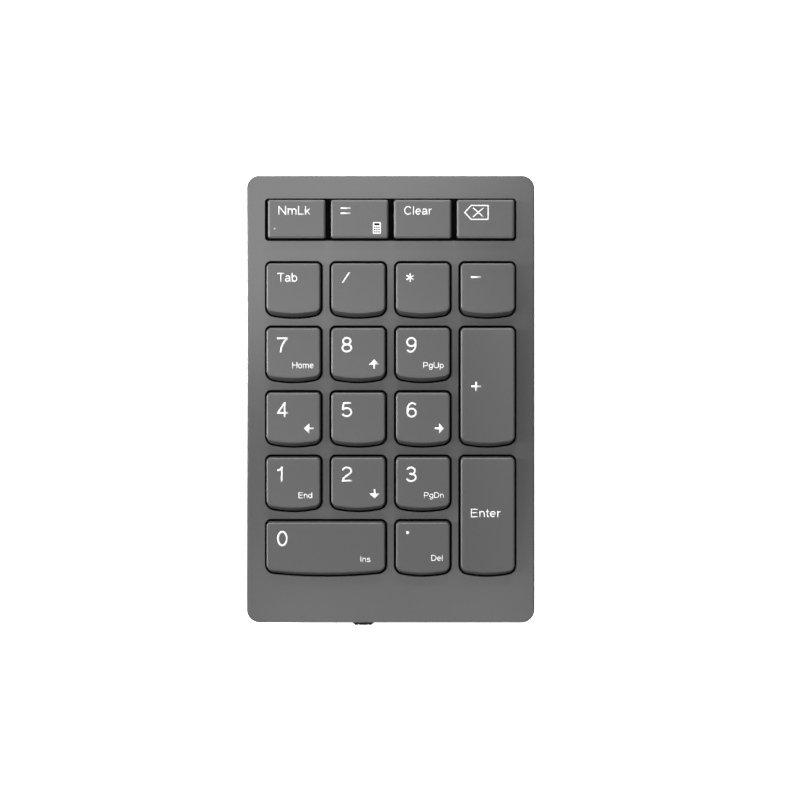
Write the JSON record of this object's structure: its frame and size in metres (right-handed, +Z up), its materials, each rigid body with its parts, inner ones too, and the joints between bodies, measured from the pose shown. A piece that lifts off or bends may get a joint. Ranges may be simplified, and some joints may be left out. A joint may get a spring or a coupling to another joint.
{
  "type": "numeric keypad",
  "caption": "Slim desktop numeric keypad with low scissor keys in a satin grey case, a power switch on its front edge and a charging socket at the back.",
  "frame": {"origin": "middle of the footprint, on the desk under the feet", "axes": "+X to the user's right, +Y away from the user towards the function row, +Z up"},
  "size_m": [0.085, 0.1332, 0.0122],
  "materials": {
    "cover_plastic": "fine satin texture",
    "cap_plastic": "fine matte texture, printed white legends",
    "base_plastic": "coarse matte texture",
    "knob_plastic": "matte",
    "switch_plastic": "matte",
    "plate_steel": "brushed sheet",
    "wire_steel": "drawn wire",
    "port_steel": "plated",
    "screw_steel": "plated",
    "membrane_film": "printed film, black",
    "dome_rubber": "soft silicone",
    "scissor_plastic": "natural acetal",
    "board_laminate": "green solder mask",
    "battery_pouch": "foil pouch",
    "lens_plastic": "frosted light pipe",
    "foot_rubber": "matte"
  },
  "bodies": {
    "housing": {"top_cover": "cover_plastic", "bottom_cover": "base_plastic", "key_plate": "plate_steel", "membrane": "membrane_film", "rubber_domes": "dome_rubber", "inner_scissors": "scissor_plastic", "circuit_board": "board_laminate", "battery": "battery_pouch", "usb_c_port": "port_steel", "power_switch": "switch_plastic", "status_lens": "lens_plastic", "cover_screws": "screw_steel", "rubber_feet": "foot_rubber"},
    "power_knob": {"power_knob": "knob_plastic"},
    "key_num_lock": {"key_num_lock": "cap_plastic", "num_lock_lens": "lens_plastic"},
    "scissor_num_lock": {"scissor_num_lock": "scissor_plastic"},
    "key_equals": {"key_equals": "cap_plastic"},
    "scissor_equals": {"scissor_equals": "scissor_plastic"},
    "key_clear": {"key_clear": "cap_plastic"},
    "scissor_clear": {"scissor_clear": "scissor_plastic"},
    "key_backspace": {"key_backspace": "cap_plastic"},
    "scissor_backspace": {"scissor_backspace": "scissor_plastic"},
    "key_tab": {"key_tab": "cap_plastic"},
    "scissor_tab": {"scissor_tab": "scissor_plastic"},
    "key_divide": {"key_divide": "cap_plastic"},
    "scissor_divide": {"scissor_divide": "scissor_plastic"},
    "key_multiply": {"key_multiply": "cap_plastic"},
    "scissor_multiply": {"scissor_multiply": "scissor_plastic"},
    "key_minus": {"key_minus": "cap_plastic"},
    "scissor_minus": {"scissor_minus": "scissor_plastic"},
    "key_7": {"key_7": "cap_plastic"},
    "scissor_7": {"scissor_7": "scissor_plastic"},
    "key_8": {"key_8": "cap_plastic"},
    "scissor_8": {"scissor_8": "scissor_plastic"},
    "key_9": {"key_9": "cap_plastic"},
    "scissor_9": {"scissor_9": "scissor_plastic"},
    "key_plus": {"key_plus": "cap_plastic"},
    "scissor_plus": {"scissor_plus": "scissor_plastic"},
    "stabiliser_plus": {"stabiliser_plus": "wire_steel"},
    "key_4": {"key_4": "cap_plastic"},
    "scissor_4": {"scissor_4": "scissor_plastic"},
    "key_5": {"key_5": "cap_plastic"},
    "scissor_5": {"scissor_5": "scissor_plastic"},
    "key_6": {"key_6": "cap_plastic"},
    "scissor_6": {"scissor_6": "scissor_plastic"},
    "key_1": {"key_1": "cap_plastic"},
    "scissor_1": {"scissor_1": "scissor_plastic"},
    "key_2": {"key_2": "cap_plastic"},
    "scissor_2": {"scissor_2": "scissor_plastic"},
    "key_3": {"key_3": "cap_plastic"},
    "scissor_3": {"scissor_3": "scissor_plastic"},
    "key_enter": {"key_enter": "cap_plastic"},
    "scissor_enter": {"scissor_enter": "scissor_plastic"},
    "stabiliser_enter": {"stabiliser_enter": "wire_steel"},
    "key_0": {"key_0": "cap_plastic"},
    "scissor_0": {"scissor_0": "scissor_plastic"},
    "stabiliser_0": {"stabiliser_0": "wire_steel"},
    "key_point": {"key_point": "cap_plastic"},
    "scissor_point": {"scissor_point": "scissor_plastic"}
  },
  "joints": [
    {"name": "power_knob_slide", "type": "slide", "parent": "housing", "child": "power_knob", "axis": [1, 0, 0], "range_m": [0, 0.002]},
    {"name": "key_num_lock_press", "type": "slide", "parent": "housing", "child": "key_num_lock", "axis": [0, 0, -1], "range_m": [0, 0.0016], "stiffness_N_per_m": 250, "deforming": ["rubber_domes", "inner_scissors"]},
    {"name": "scissor_num_lock_hinge", "type": "hinge", "parent": "housing", "child": "scissor_num_lock", "pos_m": [-0.02277, 0.05348, 0.0083], "axis": [0, -1, 0], "range_deg": [0, 9.31]},
    {"name": "key_equals_press", "type": "slide", "parent": "housing", "child": "key_equals", "axis": [0, 0, -1], "range_m": [0, 0.0016], "stiffness_N_per_m": 250, "deforming": ["rubber_domes", "inner_scissors"]},
    {"name": "scissor_equals_hinge", "type": "hinge", "parent": "housing", "child": "scissor_equals", "pos_m": [-0.00425, 0.05348, 0.0083], "axis": [0, -1, 0], "range_deg": [0, 9.31]},
    {"name": "key_clear_press", "type": "slide", "parent": "housing", "child": "key_clear", "axis": [0, 0, -1], "range_m": [0, 0.0016], "stiffness_N_per_m": 250, "deforming": ["rubber_domes", "inner_scissors"]},
    {"name": "scissor_clear_hinge", "type": "hinge", "parent": "housing", "child": "scissor_clear", "pos_m": [0.01427, 0.05348, 0.0083], "axis": [0, -1, 0], "range_deg": [0, 9.31]},
    {"name": "key_backspace_press", "type": "slide", "parent": "housing", "child": "key_backspace", "axis": [0, 0, -1], "range_m": [0, 0.0016], "stiffness_N_per_m": 250, "deforming": ["rubber_domes", "inner_scissors"]},
    {"name": "scissor_backspace_hinge", "type": "hinge", "parent": "housing", "child": "scissor_backspace", "pos_m": [0.03279, 0.05348, 0.0083], "axis": [0, -1, 0], "range_deg": [0, 9.31]},
    {"name": "key_tab_press", "type": "slide", "parent": "housing", "child": "key_tab", "axis": [0, 0, -1], "range_m": [0, 0.0016], "stiffness_N_per_m": 250, "deforming": ["rubber_domes", "inner_scissors"]},
    {"name": "scissor_tab_hinge", "type": "hinge", "parent": "housing", "child": "scissor_tab", "pos_m": [-0.02857, 0.02787, 0.0083], "axis": [-1, 0, 0], "range_deg": [0, 9.31]},
    {"name": "key_divide_press", "type": "slide", "parent": "housing", "child": "key_divide", "axis": [0, 0, -1], "range_m": [0, 0.0016], "stiffness_N_per_m": 250, "deforming": ["rubber_domes", "inner_scissors"]},
    {"name": "scissor_divide_hinge", "type": "hinge", "parent": "housing", "child": "scissor_divide", "pos_m": [-0.00953, 0.02787, 0.0083], "axis": [-1, 0, 0], "range_deg": [0, 9.31]},
    {"name": "key_multiply_press", "type": "slide", "parent": "housing", "child": "key_multiply", "axis": [0, 0, -1], "range_m": [0, 0.0016], "stiffness_N_per_m": 250, "deforming": ["rubber_domes", "inner_scissors"]},
    {"name": "scissor_multiply_hinge", "type": "hinge", "parent": "housing", "child": "scissor_multiply", "pos_m": [0.00953, 0.02787, 0.0083], "axis": [-1, 0, 0], "range_deg": [0, 9.31]},
    {"name": "key_minus_press", "type": "slide", "parent": "housing", "child": "key_minus", "axis": [0, 0, -1], "range_m": [0, 0.0016], "stiffness_N_per_m": 250, "deforming": ["rubber_domes", "inner_scissors"]},
    {"name": "scissor_minus_hinge", "type": "hinge", "parent": "housing", "child": "scissor_minus", "pos_m": [0.02857, 0.02787, 0.0083], "axis": [-1, 0, 0], "range_deg": [0, 9.31]},
    {"name": "key_7_press", "type": "slide", "parent": "housing", "child": "key_7", "axis": [0, 0, -1], "range_m": [0, 0.0016], "stiffness_N_per_m": 250, "deforming": ["rubber_domes", "inner_scissors"]},
    {"name": "scissor_7_hinge", "type": "hinge", "parent": "housing", "child": "scissor_7", "pos_m": [-0.02857, 0.00882, 0.0083], "axis": [-1, 0, 0], "range_deg": [0, 9.31]},
    {"name": "key_8_press", "type": "slide", "parent": "housing", "child": "key_8", "axis": [0, 0, -1], "range_m": [0, 0.0016], "stiffness_N_per_m": 250, "deforming": ["rubber_domes", "inner_scissors"]},
    {"name": "scissor_8_hinge", "type": "hinge", "parent": "housing", "child": "scissor_8", "pos_m": [-0.00953, 0.00882, 0.0083], "axis": [-1, 0, 0], "range_deg": [0, 9.31]},
    {"name": "key_9_press", "type": "slide", "parent": "housing", "child": "key_9", "axis": [0, 0, -1], "range_m": [0, 0.0016], "stiffness_N_per_m": 250, "deforming": ["rubber_domes", "inner_scissors"]},
    {"name": "scissor_9_hinge", "type": "hinge", "parent": "housing", "child": "scissor_9", "pos_m": [0.00953, 0.00882, 0.0083], "axis": [-1, 0, 0], "range_deg": [0, 9.31]},
    {"name": "key_plus_press", "type": "slide", "parent": "housing", "child": "key_plus", "axis": [0, 0, -1], "range_m": [0, 0.0016], "stiffness_N_per_m": 250, "deforming": ["rubber_domes", "inner_scissors"]},
    {"name": "scissor_plus_hinge", "type": "hinge", "parent": "housing", "child": "scissor_plus", "pos_m": [0.03342, 0.00415, 0.0083], "axis": [0, -1, 0], "range_deg": [0, 9.31]},
    {"name": "stabiliser_plus_hinge", "type": "hinge", "parent": "housing", "child": "stabiliser_plus", "pos_m": [0.03029, 0.00415, 0.0083], "axis": [0, -1, 0], "range_deg": [0, 11.74]},
    {"name": "key_4_press", "type": "slide", "parent": "housing", "child": "key_4", "axis": [0, 0, -1], "range_m": [0, 0.0016], "stiffness_N_per_m": 250, "deforming": ["rubber_domes", "inner_scissors"]},
    {"name": "scissor_4_hinge", "type": "hinge", "parent": "housing", "child": "scissor_4", "pos_m": [-0.02857, -0.01023, 0.0083], "axis": [-1, 0, 0], "range_deg": [0, 9.31]},
    {"name": "key_5_press", "type": "slide", "parent": "housing", "child": "key_5", "axis": [0, 0, -1], "range_m": [0, 0.0016], "stiffness_N_per_m": 250, "deforming": ["rubber_domes", "inner_scissors"]},
    {"name": "scissor_5_hinge", "type": "hinge", "parent": "housing", "child": "scissor_5", "pos_m": [-0.00953, -0.01023, 0.0083], "axis": [-1, 0, 0], "range_deg": [0, 9.31]},
    {"name": "key_6_press", "type": "slide", "parent": "housing", "child": "key_6", "axis": [0, 0, -1], "range_m": [0, 0.0016], "stiffness_N_per_m": 250, "deforming": ["rubber_domes", "inner_scissors"]},
    {"name": "scissor_6_hinge", "type": "hinge", "parent": "housing", "child": "scissor_6", "pos_m": [0.00953, -0.01023, 0.0083], "axis": [-1, 0, 0], "range_deg": [0, 9.31]},
    {"name": "key_1_press", "type": "slide", "parent": "housing", "child": "key_1", "axis": [0, 0, -1], "range_m": [0, 0.0016], "stiffness_N_per_m": 250, "deforming": ["rubber_domes", "inner_scissors"]},
    {"name": "scissor_1_hinge", "type": "hinge", "parent": "housing", "child": "scissor_1", "pos_m": [-0.02857, -0.02928, 0.0083], "axis": [-1, 0, 0], "range_deg": [0, 9.31]},
    {"name": "key_2_press", "type": "slide", "parent": "housing", "child": "key_2", "axis": [0, 0, -1], "range_m": [0, 0.0016], "stiffness_N_per_m": 250, "deforming": ["rubber_domes", "inner_scissors"]},
    {"name": "scissor_2_hinge", "type": "hinge", "parent": "housing", "child": "scissor_2", "pos_m": [-0.00953, -0.02928, 0.0083], "axis": [-1, 0, 0], "range_deg": [0, 9.31]},
    {"name": "key_3_press", "type": "slide", "parent": "housing", "child": "key_3", "axis": [0, 0, -1], "range_m": [0, 0.0016], "stiffness_N_per_m": 250, "deforming": ["rubber_domes", "inner_scissors"]},
    {"name": "scissor_3_hinge", "type": "hinge", "parent": "housing", "child": "scissor_3", "pos_m": [0.00953, -0.02928, 0.0083], "axis": [-1, 0, 0], "range_deg": [0, 9.31]},
    {"name": "key_enter_press", "type": "slide", "parent": "housing", "child": "key_enter", "axis": [0, 0, -1], "range_m": [0, 0.0016], "stiffness_N_per_m": 250, "deforming": ["rubber_domes", "inner_scissors"]},
    {"name": "scissor_enter_hinge", "type": "hinge", "parent": "housing", "child": "scissor_enter", "pos_m": [0.03342, -0.03395, 0.0083], "axis": [0, -1, 0], "range_deg": [0, 9.31]},
    {"name": "stabiliser_enter_hinge", "type": "hinge", "parent": "housing", "child": "stabiliser_enter", "pos_m": [0.03029, -0.03395, 0.0083], "axis": [0, -1, 0], "range_deg": [0, 11.74]},
    {"name": "key_0_press", "type": "slide", "parent": "housing", "child": "key_0", "axis": [0, 0, -1], "range_m": [0, 0.0016], "stiffness_N_per_m": 250, "deforming": ["rubber_domes", "inner_scissors"]},
    {"name": "scissor_0_hinge", "type": "hinge", "parent": "housing", "child": "scissor_0", "pos_m": [-0.01905, -0.04833, 0.0083], "axis": [-1, 0, 0], "range_deg": [0, 9.31]},
    {"name": "stabiliser_0_hinge", "type": "hinge", "parent": "housing", "child": "stabiliser_0", "pos_m": [-0.01905, -0.0452, 0.0083], "axis": [-1, 0, 0], "range_deg": [0, 11.74]},
    {"name": "key_point_press", "type": "slide", "parent": "housing", "child": "key_point", "axis": [0, 0, -1], "range_m": [0, 0.0016], "stiffness_N_per_m": 250, "deforming": ["rubber_domes", "inner_scissors"]},
    {"name": "scissor_point_hinge", "type": "hinge", "parent": "housing", "child": "scissor_point", "pos_m": [0.00953, -0.04833, 0.0083], "axis": [-1, 0, 0], "range_deg": [0, 9.31]}
  ],
  "couplings": [
    {"joint": "scissor_num_lock_hinge", "follows": "key_num_lock_press", "rad_per_m": 101.51},
    {"joint": "scissor_equals_hinge", "follows": "key_equals_press", "rad_per_m": 101.51},
    {"joint": "scissor_clear_hinge", "follows": "key_clear_press", "rad_per_m": 101.51},
    {"joint": "scissor_backspace_hinge", "follows": "key_backspace_press", "rad_per_m": 101.51},
    {"joint": "scissor_tab_hinge", "follows": "key_tab_press", "rad_per_m": 101.51},
    {"joint": "scissor_divide_hinge", "follows": "key_divide_press", "rad_per_m": 101.51},
    {"joint": "scissor_multiply_hinge", "follows": "key_multiply_press", "rad_per_m": 101.51},
    {"joint": "scissor_minus_hinge", "follows": "key_minus_press", "rad_per_m": 101.51},
    {"joint": "scissor_7_hinge", "follows": "key_7_press", "rad_per_m": 101.51},
    {"joint": "scissor_8_hinge", "follows": "key_8_press", "rad_per_m": 101.51},
    {"joint": "scissor_9_hinge", "follows": "key_9_press", "rad_per_m": 101.51},
    {"joint": "scissor_plus_hinge", "follows": "key_plus_press", "rad_per_m": 101.51},
    {"joint": "stabiliser_plus_hinge", "follows": "key_plus_press", "rad_per_m": 128},
    {"joint": "scissor_4_hinge", "follows": "key_4_press", "rad_per_m": 101.51},
    {"joint": "scissor_5_hinge", "follows": "key_5_press", "rad_per_m": 101.51},
    {"joint": "scissor_6_hinge", "follows": "key_6_press", "rad_per_m": 101.51},
    {"joint": "scissor_1_hinge", "follows": "key_1_press", "rad_per_m": 101.51},
    {"joint": "scissor_2_hinge", "follows": "key_2_press", "rad_per_m": 101.51},
    {"joint": "scissor_3_hinge", "follows": "key_3_press", "rad_per_m": 101.51},
    {"joint": "scissor_enter_hinge", "follows": "key_enter_press", "rad_per_m": 101.51},
    {"joint": "stabiliser_enter_hinge", "follows": "key_enter_press", "rad_per_m": 128},
    {"joint": "scissor_0_hinge", "follows": "key_0_press", "rad_per_m": 101.51},
    {"joint": "stabiliser_0_hinge", "follows": "key_0_press", "rad_per_m": 128},
    {"joint": "scissor_point_hinge", "follows": "key_point_press", "rad_per_m": 101.51}
  ]
}
